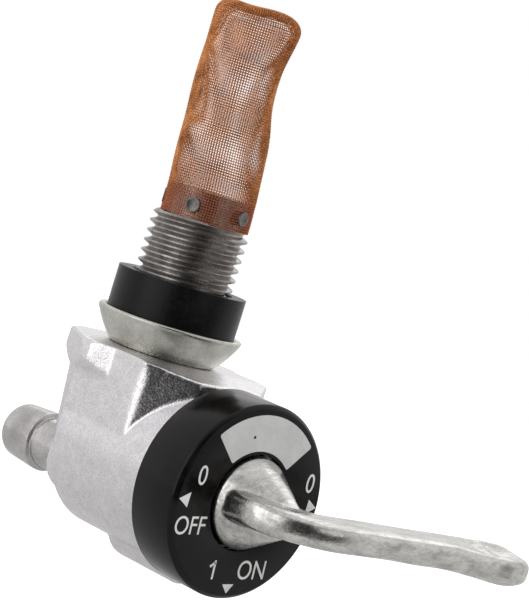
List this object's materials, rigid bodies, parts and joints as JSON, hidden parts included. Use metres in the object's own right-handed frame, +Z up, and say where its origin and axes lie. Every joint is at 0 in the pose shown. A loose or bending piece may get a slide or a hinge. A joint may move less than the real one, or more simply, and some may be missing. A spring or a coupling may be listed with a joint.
{
  "type": "fuel tap",
  "caption": "Die-cast fuel tap with a threaded tank stud, a mesh filter, a gasket in a cup washer, a black dial cap, a turning lever and a barbed hose nozzle.",
  "frame": {"origin": "on the axis of the tank stud, in the plane of the top of the tank gasket, where the thread starts", "axes": "+Z up the stud into the tank, -Y out of the dial towards the user, +Y to the hose nozzle, +X along the lever at rest"},
  "size_m": [0.0556, 0.0607, 0.0734],
  "materials": {
    "zinc_casting": "bright grainy die casting",
    "plated_steel": "zinc plated, satin",
    "rubber": "matt black rubber",
    "copper_mesh": "woven copper wire",
    "nozzle_metal": "turned and plated",
    "lever_metal": "polished die casting",
    "black_cap": "black satin"
  },
  "bodies": {
    "housing": {"body": "zinc_casting", "cup_washer": "plated_steel", "tank_gasket": "rubber", "filter_gauze": "copper_mesh", "hose_nozzle": "nozzle_metal", "valve_seal": "rubber", "wave_spring": "plated_steel", "dial_cap": "black_cap"},
    "lever": {"lever": "lever_metal"}
  },
  "joints": [
    {"name": "lever_turn", "type": "hinge", "parent": "housing", "child": "lever", "pos_m": [0, -0.03, -0.0229], "axis": [0, 1, 0], "range_deg": [0, 180]}
  ]
}
